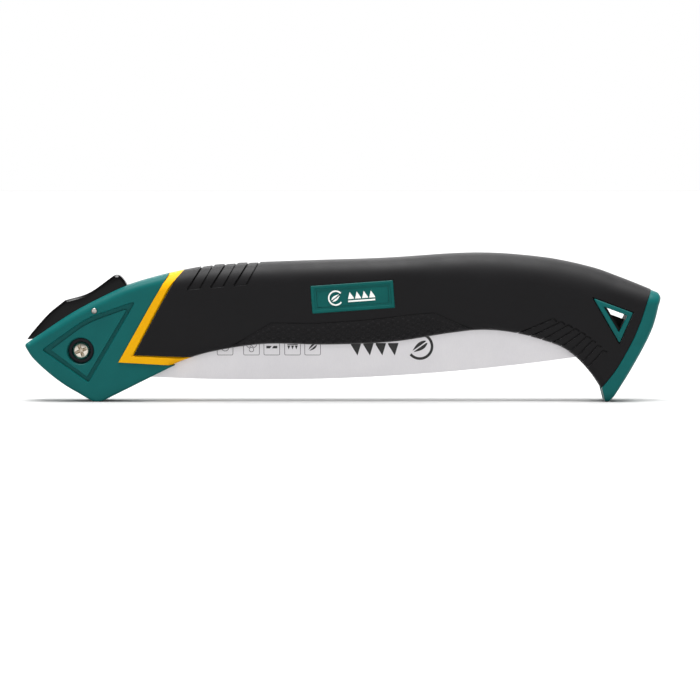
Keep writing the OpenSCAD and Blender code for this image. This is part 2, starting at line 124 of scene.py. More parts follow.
def height_at(points, x):
    """Smooth height at x along a short list of (x, height) points, the same curve as in the CAD model."""
    i = 0
    while i < len(points) - 2 and x >= points[i + 1][0]:
        i += 1

    def slope(k):
        a, b = max(k - 1, 0), min(k + 1, len(points) - 1)
        return (points[b][1] - points[a][1]) / (points[b][0] - points[a][0])

    (x0, z0), (x1, z1) = points[i], points[i + 1]
    w = x1 - x0
    t = (x - x0) / w
    return (z0 * (2 * t**3 - 3 * t**2 + 1) + slope(i) * w * (t**3 - 2 * t**2 + t)
            + z1 * (3 * t**2 - 2 * t**3) + slope(i + 1) * w * (t**3 - t**2))


def along(points):
    """The smooth height along a list of points, as a function of x."""
    return lambda x: height_at(points, x)


def steps(a, b, count):
    """count + 1 even steps from a to b."""
    return [a + (b - a) * i / count for i in range(count + 1)]


def mix(points, x):
    """Straight-line value at x along a list of (x, value) points."""
    if x <= points[0][0]:
        return points[0][1]
    for (x0, v0), (x1, v1) in zip(points, points[1:]):
        if x <= x1:
            return v0 + (v1 - v0) * (x - x0) / (x1 - x0)
    return points[-1][1]


def polar(r, degrees, centre=(0, 0)):
    a = math.radians(degrees)
    return (centre[0] + r * math.cos(a), centre[1] + r * math.sin(a))


def arc(r, start, end, count, centre=(0, 0)):
    return [polar(r, a, centre) for a in steps(start, end, count)]


def rectangle(half_l, half_h):
    return [(-half_l, -half_h), (half_l, -half_h), (half_l, half_h), (-half_l, half_h)]


def turned_points(points, degrees, shift=(0, 0)):
    """Points turned about the origin, then shifted."""
    a = math.radians(degrees)
    return [(shift[0] + x * math.cos(a) - z * math.sin(a), shift[1] + x * math.sin(a) + z * math.cos(a))
            for x, z in points]


def corner_shift(before, here, after, d):
    """here moved so that both lines through it move d to their right."""
    u = (Vector(here) - Vector(before)).normalized()
    v = (Vector(after) - Vector(here)).normalized()
    right = Vector((u.y, -u.x))
    n = right + Vector((v.y, -v.x))
    n = (right if n.length < 1e-6 else n).normalized()
    reach = d / max(0.35, n.dot(right))
    return (here[0] + n.x * reach, here[1] + n.y * reach)


def per_corner(value, outline):
    return value if isinstance(value, list) else [value] * len(outline)


def grown(outline, d):
    """A closed outline moved outwards by d (a number, or one for each corner). Negative is inwards."""
    area = sum(a[0] * b[1] - b[0] * a[1] for a, b in zip(outline, outline[1:] + outline[:1]))
    turn = 1 if area > 0 else -1
    n = len(outline)
    return [corner_shift(outline[i - 1], outline[i], outline[(i + 1) % n], turn * move)
            for i, move in enumerate(per_corner(d, outline))]


def moved_line(line, d):
    """An open line moved d to its right, seen along its direction."""
    def beyond(end, following):
        return (2 * end[0] - following[0], 2 * end[1] - following[1])

    path = [beyond(line[0], line[1]), *line, beyond(line[-1], line[-2])]
    return [corner_shift(path[i - 1], path[i], path[i + 1], d) for i in range(1, len(path) - 1)]


def rounded(outline, radius, count=5):
    """A closed outline with its corners rounded. radius is one number, or one for each corner."""
    radii = per_corner(radius, outline)
    points = []
    n = len(outline)
    for i, here in enumerate(outline):
        p = Vector(here)
        u = (Vector(outline[i - 1]) - p).normalized()
        v = (Vector(outline[(i + 1) % n]) - p).normalized()
        half = math.acos(max(-1, min(1, u.dot(v)))) / 2
        if radii[i] <= 0 or half > 1.55:
            points.append(here)
            continue
        cut = radii[i] / math.tan(half)
        a, b = p + u * cut, p + v * cut
        for t in steps(0, 1, count):
            q = a * (1 - t)**2 + p * (2 * t * (1 - t)) + b * t**2
            points.append((q.x, q.y))
    return points


def smooth_path(points, count):
    """A curve through points that are hard to write as a height: Catmull-Rom, count steps a piece."""
    made = []
    last = len(points) - 1
    for i in range(last):
        p0, p1, p2, p3 = [Vector(points[min(max(k, 0), last)]) for k in range(i - 1, i + 3)]
        for k in range(count):
            t = k / count
            q = ((2 * p1) + (p2 - p0) * t + (2 * p0 - 5 * p1 + 4 * p2 - p3) * t**2
                 + (3 * p1 - p0 - 3 * p2 + p3) * t**3) * 0.5
            made.append((q.x, q.y))
    made.append(tuple(points[-1]))
    return made


def ribbon(path, width):
    """The closed outline of a line that is width wide."""
    return moved_line(path, width / 2) + moved_line(path, -width / 2)[::-1]


# --- Meshes ---

def solid(verts, faces):
    """A closed mesh with its faces turned outwards."""
    mesh = bpy.data.meshes.new("shape")
    mesh.from_pydata([tuple(v) for v in verts], [], faces)
    bm = bmesh.new()
    bm.from_mesh(mesh)
    bmesh.ops.recalc_face_normals(bm, faces=bm.faces)
    bm.to_mesh(mesh)
    bm.free()
    return mesh


def side_faces(rings, n):
    """Four-cornered faces between rings of n points each."""
    return [[k * n + i, k * n + (i + 1) % n, (k + 1) * n + (i + 1) % n, (k + 1) * n + i]
            for k in range(rings - 1) for i in range(n)]


def loft(rings):
    """Closed rings of 3-D points joined in their order, with both ends capped."""
    n = len(rings[0])
    verts = [p for ring in rings for p in ring]
    caps = [list(range(n)), [(len(rings) - 1) * n + i for i in range(n)]]
    return solid(verts, side_faces(len(rings), n) + caps)


def stack(levels):
    """Side-view outlines joined through the thickness. levels is [(y, outline), ...], all of one count."""
    return loft([[(x, y, z) for x, z in outline] for y, outline in levels])


def slab(outline, y0, y1):
    return stack([(y0, outline), (y1, outline)])


def plank(outline, half_w=OUTSIDE):
    return slab(outline, -half_w, half_w)


def both_levels(levels):
    """Levels of the right side, outermost first, as ones that run from the left side to the right."""
    return [(-y, value) for y, value in levels] + levels[::-1]


def turned(profile, centre=(0, 0), sides=64):
    """A closed (radius, y) profile turned round an axis along Y. Points at radius 0 become one vertex."""
    verts, rows = [], []
    for r, y in profile:
        if r < 1e-6:
            verts.append((centre[0], y, centre[1]))
            rows.append([len(verts) - 1] * sides)
            continue
        rows.append(list(range(len(verts), len(verts) + sides)))
        for a in steps(0, 360, sides)[:-1]:
            x, z = polar(r, a, centre)
            verts.append((x, y, z))
    faces = []
    for row, following in zip(rows, rows[1:] + rows[:1]):
        for i in range(sides):
            j = (i + 1) % sides
            face = list(dict.fromkeys((row[i], row[j], following[j], following[i])))
            if len(face) > 2:
                faces.append(face)
    return solid(verts, faces)


def rod(r, y0, y1, centre=(0, 0), sides=64):
    return turned([(0, y0), (r, y0), (r, y1), (0, y1)], centre, sides)


def joined(meshes):
    """Several meshes as one."""
    bm = bmesh.new()
    for mesh in meshes:
        bm.from_mesh(mesh)
    made = bpy.data.meshes.new("shape")
    bm.to_mesh(made)
    bm.free()
    return made


def mirrored(mesh):
    """The same shape on the other side of the saw."""
    made = mesh.copy()
    made.transform(Matrix.Scale(-1, 4, (0, 1, 0)))
    made.flip_normals()
    return made


def both_sides(mesh):
    return [mesh, mirrored(mesh)]


def in_scene(name, data):
    """A new object of the scene."""
    obj = bpy.data.objects.new(name, data)
    bpy.context.scene.collection.objects.link(obj)
    return obj


def carved(mesh, cutters, operation="DIFFERENCE"):
    """mesh with the cutters taken away, joined on or kept in common. Every shape is a closed one."""
    body = in_scene("body", mesh)
    tools = [in_scene("tool", cutter) for cutter in cutters]
    for tool in tools:
        modifier = body.modifiers.new("carve", "BOOLEAN")
        modifier.operation = operation
        modifier.solver = "MANIFOLD"
        modifier.object = tool
    graph = bpy.context.evaluated_depsgraph_get()
    made = bpy.data.meshes.new_from_object(body.evaluated_get(graph))
    for obj in [body] + tools:
        bpy.data.objects.remove(obj)
    return made


def cleaned(mesh):
    """mesh without the specks that carving leaves."""
    speck = 0.002
    bm = bmesh.new()
    bm.from_mesh(mesh)
    bmesh.ops.remove_doubles(bm, verts=bm.verts, dist=speck)
    bmesh.ops.dissolve_degenerate(bm, edges=bm.edges, dist=speck)
    bm.to_mesh(mesh)
    bm.free()
    return mesh


def placed(name, mesh, body, look, replaces=(), sharp=32):
    """A finished piece, in the row frame and on its body. A slot has the name of its look."""
    mesh.transform(TO_ROW)
    mesh.name = name
    mesh.materials.clear()
    mesh.materials.append(looks[look])
    mesh.polygons.foreach_set("use_smooth", [True] * len(mesh.polygons))
    mesh.set_sharp_from_angle(angle=math.radians(sharp))
    obj = in_scene(name, mesh)
    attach(obj, body)
    if replaces:
        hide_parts(*replaces)
    return obj


# --- The handle's outer skin ---

class Skin:
    """A rounded bar along x, from its top, its low edge, its half-width and its edges' rounding."""

    corner_steps = 14
    side_steps = 6

    def __init__(self, top, low, half_w, top_round, low_round):
        self.top, self.low, self.half_w = top, low, half_w
        self.top_round, self.low_round = top_round, low_round

    def measures(self, x, inset=0.0):
        """Top, low edge, half-width and the (y, z) half-axes of the upper and lower corners at x."""
        top, low = self.top(x) - inset, self.low(x) + inset
        half_w = self.half_w(x) - inset
        rise = (self.top(x + 0.5) - self.top(x - 0.5)) ** 2
        fall = (self.low(x + 0.5) - self.low(x - 0.5)) ** 2
        corners = []
        for (across, up), slope in ((self.top_round(x), rise), (self.low_round(x), fall)):
            corners.append([max(across - inset, 0.2), max(up - inset, 0.2) * math.sqrt(1 + min(slope, 6))])
        share = min(1.0, 0.96 * (top - low) / (corners[0][1] + corners[1][1]))
        for corner in corners:
            corner[0] = min(corner[0] * share, half_w - 0.05)
            corner[1] *= share
        return top, low, half_w, corners[0], corners[1]

    def ring(self, x, inset=0.0):
        top, low, w, (ta, tb), (la, lb) = self.measures(x, inset)
        quarter = steps(0, math.pi / 2, self.corner_steps)
        right = [(0, top)]
        right += [(w - ta + ta * math.sin(a), top - tb + tb * math.cos(a)) for a in quarter]
        right += [(w, z) for z in steps(top - tb, low + lb, self.side_steps + 1)[1:-1]]
        right += [(w - la + la * math.cos(a), low + lb - lb * math.sin(a)) for a in quarter]
        right += [(0, low)]
        return [(x, y, z) for y, z in right] + [(x, -y, z) for y, z in right[-2:0:-1]]

    def body(self, stations, inset=0.0):
        return loft([self.ring(x, inset) for x in stations])

    def half_width_at(self, x, z):
        """Half-width of the skin at a point of the side view."""
        top, low, w, upper, lower = self.measures(x)
        for past, (across, up) in ((z - top + upper[1], upper), (low + lower[1] - z, lower)):
            if past > 0:
                return w - across + across * math.sqrt(max(0, 1 - (past / up) ** 2))
        return w

    def outward_at(self, x, z):
        """Direction out of the skin on the +Y side."""
        width, step = self.half_width_at, 0.2
        dz = (width(x, z + step) - width(x, z - step)) / (2 * step)
        dx = (width(x + step, z) - width(x - step, z)) / (2 * step)
        return Vector((-dx, 1, -dz)).normalized()


def grip_low(x):
    if x < LOW_LINE[-1][0]:
        return height_at(LOW_LINE, x)
    return height_at([(back, z) for z, back in BUTT_LINE], x)


def rounding(across, up):
    """An edge's rounding along x, from (x, reach) points for its reach across and its reach upwards."""
    return lambda x: (mix(across, x), mix(up, x))


GRIP = Skin(
    top=along(TOP_LINE),
    low=grip_low,
    half_w=along(WIDTH_LINE),
    top_round=rounding([(16, 5), (44, 7.5), (70, 10.5), (155, 10.5), (195, 11.8), (262, 11.8), (284, 8)],
                       [(16, 4.5), (44, 8), (70, 11.5), (155, 11.5), (195, 15.5), (250, 15.5), (284, 9)]),
    low_round=rounding([(40, 3), (80, 5), (200, 5.5), (240, 5), (260, 4)],
                       [(40, 2), (80, 4.5), (200, 5), (240, 4.5), (260, 3.5)]),
)

NOSE_ROUND = 2.2


def head_half_w(x):
    t = min(1.0, max(0.0, (x - NOSE_X) / NOSE_ROUND))
    return HEAD_HALF_W - NOSE_ROUND * (1 - math.sqrt(1 - (1 - t) ** 2))


HEAD = Skin(
    top=along(HEAD_TOP),
    low=along(HEAD_LOW),
    half_w=head_half_w,
    top_round=rounding([(-27, 3), (-10, 4.2), (50, 5)], [(-27, 2.5), (-10, 4), (50, 4.6)]),
    low_round=lambda x: (1.7, 1.5),
)


# --- Side-view regions ---

joint_x = along(JOINT_LINE)


def behind(edge):
    """All that lies behind an edge line, as far as the line reaches up and down."""
    return edge + [(BEYOND, edge[-1][1]), (BEYOND, edge[0][1])]


def ahead(edge):
    """All that lies before an edge line that is open towards the butt."""
    return [(-FAR, FAR), (-FAR, -FAR), (edge[-1][0], -FAR)] + edge[::-1] + [(edge[0][0], FAR)]


def under_grip(cover, grow=0.0, past_joint=False):
    """The handle's outline drawn in by a cover. A cutter is a little larger, and open at the joint."""
    top_cover, low_cover = cover
    top = [(x, GRIP.top(x) - top_cover + grow) for x in steps(14, 275, 60)]
    joint = [(joint_x(z), z) for z in steps(30 - top_cover, -12, 20)]
    if past_joint:
        joint = [joint[0], (BEYOND, joint[0][1]), (BEYOND, joint[-1][1]), joint[-1]]
    low = [(x, GRIP.low(x) + low_cover - grow) for x in steps(250, 22, 60)]
    return top + joint + low


def slot_region():
    wall = arc(BLADE_TURN_R, 4, -8, 8)
    return [(-FAR, -FAR), (-FAR, 45)] + SLOT_CEILING + wall + [(250, -FAR)]


def pocket_region():
    floor = [(-32, 2.9), (-16.5, 2.9), (-10.6, 3.2), (-7, 9.6), (0, 13.3), (12, 15.6), (12.4, 17)]
    return floor + arc(20.8, -7, 53, 14, LEVER_AXIS) + [(19, FAR), (-32, FAR)]


def on_badge(points):
    return turned_points(points, BADGE_TURN, BADGE_CENTRE)


def badge_outline(grow, radius):
    return on_badge(rounded(rectangle(BADGE_L / 2 + grow, BADGE_H / 2 + grow), radius))


# --- Handle core: the green head, and the web that the grip is moulded over ---

FLOOR_DEPTH, GROOVE_DEPTH = 0.65, 1.8
LIP_BREAK, LIP_Y = 0.4, HEAD_HALF_W - 1.5
# Seams as (distance from the middle plane, shift of the edge's line), outermost first
HEAD_SEAM = [(OUTSIDE, SEAM), (9.8, SEAM), (9.3, 0)]
GRIP_FRONT_SEAM = [(OUTSIDE, -SEAM - 1.2), (12.2, -SEAM - CHAMFER), (11, -SEAM), (9.8, -SEAM), (9.3, 0)]
GRIP_REAR_SEAM = [(OUTSIDE, SEAM), (10.4, SEAM), (9.9, -SEAM)]
BAND_REAR_SEAM = [(OUTSIDE, 2.5), (12.4, BAND_CHAMFER), (10.6, 0)]


def edge_cutter(region, line, seam):
    """A cutter for all that lies past a seam."""
    return stack([(y, region(moved_line(line, shift))) for y, shift in both_levels(seam)])


def head_recess():
    """The triangle in a side of the head: a sunk floor inside a broad, deeper groove."""
    outer = rounded(RECESS_OUTER, [1, 0.8, 1, 50], 8)
    inner = rounded(RECESS_INNER, [0.8, 0.6, 0.8, 45], 8)
    face = HEAD_HALF_W
    floor = stack([(-OUTSIDE, grown(outer, 0.5)), (-face, grown(outer, 0.3)), (-face + FLOOR_DEPTH, outer)])
    island = stack([(-face, grown(inner, -0.2)), (-face + GROOVE_DEPTH + 0.2, grown(inner, 0.15))])
    groove = carved(slab(outer, -OUTSIDE, -face + GROOVE_DEPTH), [island])
    return [floor, groove]


def pivot_recess(side, seat):
    """The round recess of the screw (side -1) or of the nut (side 1), with a broken lip."""
    wide = RECESS_R + LIP_BREAK
    profile = [(0, OUTSIDE), (wide, OUTSIDE), (wide, LIP_Y), (RECESS_R, LIP_Y - LIP_BREAK),
               (RECESS_R, seat), (0, seat)]
    return turned([(r, side * y) for r, y in profile])


def nut_hexagon(flat, y0, y1):
    return slab(arc(flat / math.sqrt(3), 30, 390, 6)[:-1], y0, y1)


def build_handle_core():
    stations = [NOSE_X + NOSE_ROUND * (1 - math.cos(a)) for a in steps(0, math.pi / 2, 10)]
    stations += steps(NOSE_X + NOSE_ROUND + 0.6, 56, 110)
    head = carved(HEAD.body(stations), [edge_cutter(behind, GREEN_EDGE, HEAD_SEAM)])
    web = plank(under_grip(CORE_COVER), CORE_HALF_W)
    core = carved(web, [plank(under_grip(RIB_COVER), RIB_HALF_W)], "UNION")
    handle = carved(head, [core], "UNION")
    cutters = [plank(slot_region(), SLOT_HALF_W), plank(pocket_region(), POCKET_HALF_W)]
    for shape in head_recess():
        cutters += both_sides(shape)
    cutters += [
        pivot_recess(-1, SCREW_SEAT_Y),
        pivot_recess(1, NUT_RECESS_Y),
        nut_hexagon(NUT_FLAT + 0.1, NUT_SEAT_Y - 0.01, OUTSIDE),
        rod(SCREW_R + 0.1, -OUTSIDE, OUTSIDE),
        rod(BUSHING_R + 0.01, -OUTSIDE, BUSHING_RIGHT + 0.4),
        rod(RECESS_R - 0.4, NUT_SEAT_Y - WASHER_T - 0.01, NUT_SEAT_Y),
        rod(PIN_R + 0.03, -OUTSIDE, OUTSIDE, LEVER_AXIS, 32),
        rod(PIN_R + 0.01, -5, OUTSIDE, polar(STOP_R, STOP_ANGLE), 32),
        plank(EYELET_WINDOW),
    ]
    handle = cleaned(carved(handle, cutters))
    placed("handle_core_body", handle, "handle", "green_plastic", ["handle_core"])


# --- Soft grip ---

PAD_COUNT, PAD_STEP = 3, (11.4, 1.0)
PAD_DEPTH, PAD_GROOVE_DEPTH, PAD_GROOVE_W = (0.5, 0.25), (1.15, 0.6), 0.8
PAD = [(52.4, 30.2), (58.6, 30.8), (67.4, 46), (62.6, 46)]
PANEL_LINE = [(74, 2.3), (93.5, 13.9), (116.3, 13.7), (141.6, 15.5), (165.2, 18.3), (173.2, 18.9),
              (183, 14.5), (192, 10.6)]
PANEL_GROOVE_W, PANEL_GROOVE_DEPTH = 0.55, 0.5
BUMP_PITCH, BUMP_R, BUMP_RISE = (2.44, 2.3), 0.9, 0.42
RIB_COUNT, RIB_GROOVE_W, RIB_GROOVE_DEPTH = 9, 0.75, 0.85
# Both ends of some of the ribs' grooves, as (number, x, z)
RIB_FOOT = [(0, 217, 9.9), (2, 228.5, 6.9), (4, 236.9, 3.1), (6, 244.3, -1.4), (8, 249.7, -6.6)]
RIB_TOP = [(0, 232.5, 16.5), (2, 240, 13.4), (4, 246.2, 9.8), (6, 251.2, 5.8), (8, 256.5, 1)]


def sunk_skin(depth):
    """The front of the grip without its outer layer. depth is (at the sides, at the top)."""
    sunk = Skin(lambda x: GRIP.top(x) - depth[1], GRIP.low, lambda x: GRIP.half_w(x) - depth[0],
                GRIP.top_round, GRIP.low_round)
    return sunk.body(steps(40, 110, 70))


def front_pads():
    """Slanted pads sunk in the front of the grip, each one between two deeper grooves."""
    pads, grooves = [], []
    for i in range(PAD_COUNT):
        pad = [(x + i * PAD_STEP[0], z + i * PAD_STEP[1]) for x, z in PAD]
        mouth = [(x, z - 0.4 if z < 40 else z) for x, z in pad]
        pads.append(stack(both_levels([(OUTSIDE, mouth), (12.4, mouth), (11.4, pad)])))
        for edge in ((pad[0], pad[3]), (pad[1], pad[2])):
            grooves.append(plank(ribbon(edge, PAD_GROOVE_W)))
    return [carved(joined(pads), [sunk_skin(PAD_DEPTH)]),
            carved(joined(grooves), [sunk_skin(PAD_GROOVE_DEPTH)])]


def panel_groove():
    inner = GRIP.body(steps(60, 205, 100), PANEL_GROOVE_DEPTH)
    return [carved(plank(ribbon(PANEL_LINE, PANEL_GROOVE_W)), [inner])]


def rib_end(ends, number):
    """The end of a rib's groove, between the ones in a list of (number, x, z)."""
    return Vector([height_at([(end[0], end[axis]) for end in ends], number) for axis in (1, 2)])


def rib_grooves():
    """Slanted finger grooves in the hook of the grip: each one bends over to the butt at its top."""
    inner = GRIP.body(steps(205, 275, 90), RIB_GROOVE_DEPTH)
    grooves = []
    for i in range(RIB_COUNT):
        foot, top = rib_end(RIB_FOOT, i), rib_end(RIB_TOP, i)
        rise = (top - foot).normalized()
        aside = Vector((rise.y, -rise.x))
        bend = [top - rise * (1.0 - t) * 1.1 + aside * t * t * 2.2 for t in steps(0, 1, 4)]
        path = [tuple(p) for p in [foot - rise * 7, foot] + bend]
        grooves.append(plank(ribbon(path, RIB_GROOVE_W)))
    return [carved(joined(grooves), [inner])]


def bump(centre, outward, radius, rise):
    """A low round dome that stands out of a surface, with its underside sunk in it."""
    turn = outward.to_track_quat("Z", "Y").to_matrix()
    rings, around = 3, 10
    verts = [centre + turn @ Vector((0, 0, rise))]
    for k in range(1, rings + 1):
        a = math.pi / 2 * k / rings
        for i in range(around):
            x, y = polar(radius * math.sin(a), 360 * i / around)
            verts.append(centre + turn @ Vector((x, y, rise * math.cos(a) - 0.02)))
    verts.append(centre + turn @ Vector((0, 0, -0.6)))
    last = len(verts) - 1
    low = last - around
    faces = [[1 + v for v in face] for face in side_faces(rings, around)]
    for i in range(around):
        following = (i + 1) % around
        faces += [[0, 1 + i, 1 + following], [low + i, last, low + following]]
    return solid(verts, faces)


def panel_bumps():
    """Staggered bumps that fill the panel under its groove, in columns."""
    made = []
    column = 0
    x, last_x = 80.0, 186
    while x < last_x:
        ceiling = mix(PANEL_LINE, x) - 1.5
        z = GRIP.low(x) + 1.1 + (column % 2) * BUMP_PITCH[1] / 2
        while z < ceiling:
            y = GRIP.half_width_at(x, z)
            made.append(bump(Vector((x, y, z)), GRIP.outward_at(x, z), BUMP_R, BUMP_RISE))
            z += BUMP_PITCH[1]
        x += BUMP_PITCH[0]
        column += 1
    return both_sides(joined(made))


def core_cutters():
    """What the mouldings round the core leave free: the core, its rib and the blade's slot."""
    return [plank(under_grip(CORE_COVER, CORE_GAP, True), CORE_HALF_W + CORE_GAP),
            plank(under_grip(RIB_COVER, CORE_GAP, True), RIB_HALF_W + CORE_GAP),
            plank(slot_region(), SLOT_HALF_W)]


def build_grip():
    body = GRIP.body(steps(16, 282, 266))
    joint = [(joint_x(z), z) for z in steps(40, -26, 40)]
    joint = [(joint[0][0], FAR)] + joint + [(joint[-1][0], -FAR)]
    cutters = [edge_cutter(ahead, BLACK_EDGE, GRIP_FRONT_SEAM), edge_cutter(behind, joint, GRIP_REAR_SEAM)]
    cutters += core_cutters() + front_pads() + panel_groove() + rib_grooves()
    body = carved(body, cutters)
    lining = plank(EYELET_WINDOW, EYELET_FLOOR_Y - 0.5)
    body = carved(body, [lining] + panel_bumps(), "UNION")
    cutters = [plank(EYELET_SLOT)]
    for hole, lip, floor in ((badge_outline(0.15, 0.6), GRIP_HALF_W - 0.3, BADGE_FLOOR_Y),
                             (rounded(grown(EYELET_OUTER, 0.15), 0.5), 12.1, EYELET_FLOOR_Y)):
        cutters += both_sides(stack([(-OUTSIDE, grown(hole, 0.3)), (-lip, hole), (-floor, hole)]))
    cutters += both_sides(slab(EYELET_POCKET, -OUTSIDE, -EYELET_WEB_Y))
    body = carved(body, cutters)
    placed("soft_grip", cleaned(body), "handle", "black_grip", ["grip_sleeve"])


def build_band():
    """The band between head and grip. Its rear edge is broken, down to the grip."""
    cutters = [plank(ahead(GREEN_EDGE)), edge_cutter(behind, BLACK_EDGE, BAND_REAR_SEAM)]
    band = cleaned(carved(GRIP.body(steps(15, 60, 90)), cutters + core_cutters()))
    placed("yellow_band", band, "handle", "yellow_plastic", ["accent_band"])


# --- Butt cap ---

BUTT_TOP_Z, BUTT_TOP_R, BUTT_FOOT_R = 30.5, 8.0, 4.0
# The cap's edges, as (distance from the joint, or from the back, and distance from the sides)
BUTT_FRONT = [(0.5, 0.6), (0.1, 0.25), (0.3, 0)]
BUTT_RIM = [(1.3, 0), (1.1, 0.15), (0.15, 1.9), (0, 2.6)]


def butt_ring(x_of, inset):
    """The cap's outline seen along X, drawn in by inset, with each point moved to x_of(z)."""
    w = GRIP_HALF_W - SET_BACK
    upper = arc(BUTT_TOP_R - inset, 90, 0, 12, (w - BUTT_TOP_R, BUTT_TOP_Z - BUTT_TOP_R))
    lower = arc(BUTT_FOOT_R - inset, 0, -90, 12, (w - BUTT_FOOT_R, FOOT_Z + BUTT_FOOT_R))
    side = [(w - inset, z) for z in steps(upper[-1][1], lower[0][1], 30)[1:-1]]
    half = upper + side + lower
    points = half + [(-y, z) for y, z in half[::-1]]
    return [(x_of(z), y, under_top(x_of(z), z)) for y, z in points]


def under_top(x, z):
    """A height of the cap, lowered near its top so that the top follows the grip's down to the back."""
    share = max(0, 1 - (BUTT_TOP_Z - z) / BUTT_TOP_R)
    return z - share * (BUTT_TOP_Z + 0.3 - height_at(TOP_LINE, x))


def butt_front(z):
    """The cap's front along its joint, and straight down to its toe below that."""
    toe_x, toe_top = 257.1, -18
    return joint_x(z) if z > toe_top else mix([(FOOT_Z, toe_x), (toe_top, joint_x(toe_top))], z)


def butt_back(z):
    """The cap's back along its line, and on upwards with a slight lean."""
    line_top = BUTT_LINE[-1][0]
    return min(height_at(BUTT_LINE, min(z, line_top)) + max(0, z - line_top) * 0.2, BUTT_X)


def build_butt():
    rings = [butt_ring(lambda z, d=gap: butt_front(z) + d, inset) for gap, inset in BUTT_FRONT]
    rings += [butt_ring(lambda z, d=drop: max(butt_front(z) + 0.6, butt_back(z) - d), inset)
              for drop, inset in BUTT_RIM]
    n = len(rings[0])
    verts = [p for ring in rings for p in ring]
    faces = side_faces(len(rings), n)
    for start in (0, (len(rings) - 1) * n):
        for i in range(n // 2 - 1):
            faces.append([start + i, start + i + 1, start + n - 2 - i, start + n - 1 - i])
    placed("butt_end", cleaned(solid(verts, faces)), "handle", "green_plastic", ["butt_cap"], 40)


# --- Badges and eyelets ---

SIDES = ("left", "right")


def leaf(length, width):
    """A leaf's two halves either side of its vein, pointing along +x from the origin."""
    vein_half_w = 0.28
    halves = []
    for side in (-1, 1):
        edge = [(length * t, side * (vein_half_w + width / 2 * math.sin(math.pi * t ** 0.8)))
                for t in steps(0.04, 0.96, 12)]
        vein = [(length * t, side * vein_half_w) for t in steps(0.96, 0.04, 12)]
        halves.append(edge + vein[1:-1])
    return halves


def mark_outlines(size):
    """The mark: a leaf in an open ring, then a row of saw teeth on a bar. size is the ring's radius."""
    ring = ribbon(arc(size, 40, 320, 30), size * 0.22)
    halves = [turned_points(h, 35, (-size * 0.62, -size * 0.42)) for h in leaf(size * 1.5, size * 0.55)]
    start, pitch, foot, tip = size * 1.75, size * 1.02, -size * 0.28, size * 0.75
    tooth_w, count = pitch * 0.84, 4
    tooth = [(0, foot), (tooth_w, foot), (tooth_w, foot + size * 0.14), (pitch * 0.3, tip)]
    teeth = [[(start + i * pitch + x, z) for x, z in tooth] for i in range(count)]
    end, bar_low, bar_top = start + pitch * (count - 1) + tooth_w, foot - size * 0.44, foot - size * 0.2
    bar = [(start, bar_low), (end, bar_low), (end, bar_top), (start, bar_top)]
    return [ring] + halves + teeth + [bar]


def badge_plate():
    """A plate with a raised rim, and a fine groove round its sunk floor."""
    face, floor = BADGE_FACE_Y, BADGE_FACE_Y - BADGE_SINK
    plate = badge_outline(0, 0.5)
    rim = badge_outline(-BADGE_RIM, 0.4)
    body = carved(
        stack([(-face, grown(plate, -0.3)), (-face + 0.3, plate), (-BADGE_FLOOR_Y, plate)]),
        [stack([(-OUTSIDE, grown(rim, 0.6)), (-face, grown(rim, 0.2)), (-floor, rim)])])
    inner_rim = badge_outline(-BADGE_RIM - 0.9, 0.3)
    groove = carved(slab(inner_rim, -OUTSIDE, -floor + 0.2), [plank(grown(inner_rim, -0.35))])
    return cleaned(carved(body, [groove]))


def badge_mark(flip):
    """The raised mark on the left plate, drawn back to front for the right one, which is mirrored."""
    floor = BADGE_FACE_Y - BADGE_SINK
    marks = []
    for outline in mark_outlines(BADGE_MARK):
        centred = [(x - BADGE_MARK * 2.45, z) for x, z in outline]
        points = on_badge([(-x, z) for x, z in centred] if flip else centred)
        top = grown(points, -0.06)
        marks.append(stack([(-floor - 0.22, top), (-floor - 0.12, points), (-floor + 0.15, points)]))
    return joined(marks)


def build_badges():
    marks = badge_mark(False), mirrored(badge_mark(True))
    for side, plate, mark in zip(SIDES, both_sides(badge_plate()), marks):
        placed(f"badge_plate_{side}", plate, "handle", "badge_green", [f"badge_{side}"])
        placed(f"badge_mark_{side}", mark, "handle", "mark_white")


def build_eyelets():
    """A flat triangular frame with broken edges, set in each side of the grip."""
    face = GRIP_HALF_W - SET_BACK

    def tapered(triangle, levels):
        return stack([(y, rounded(grown(triangle, edge), radius)) for y, edge, radius in levels])

    body = tapered(EYELET_OUTER, [
        (-face, -0.75, 0.3), (-face + 0.3, -0.4, 0.4), (-face + 0.9, -0.3, 0.5),
        (-EYELET_FLOOR_Y, -0.3, 0.5)])
    hole = tapered(EYELET_INNER, [
        (-OUTSIDE, 0.6, 0.3), (-face, 0.35, 0.3), (-face + 0.4, 0, 0.3), (-5, 0, 0.3)])
    for side, mesh in zip(SIDES, both_sides(cleaned(carved(body, [hole])))):
        placed(f"eyelet_frame_{side}", mesh, "handle", "green_plastic", [f"eyelet_{side}"])


# --- Pivot ---

def washer(inner, outer, y0, y1, edge=0.12):
    """A ring with broken edges."""
    return turned([(inner, y0 + edge), (inner + edge, y0), (outer - edge, y0), (outer, y0 + edge),
                   (outer, y1 - edge), (outer - edge, y1), (inner + edge, y1), (inner, y1 - edge)])


def cross_recess(face_y):
    """Cutters for a tapered cross with a pointed middle, turned as the screw was left."""
    above, depth = face_y - 1, 2.4
    tools = []
    for turn in (22, 112):
        wide = turned_points(rectangle(3.2, 0.8), turn)
        tight = turned_points(rectangle(1.2, 0.06), turn)
        tools.append(stack([(above, wide), (face_y + 0.3, wide), (face_y + depth, tight)]))
    middle = [(0, above), (1.4, above), (1.3, face_y + 0.4), (0, face_y + depth + 1.2)]
    return tools + [turned(middle, sides=24)]


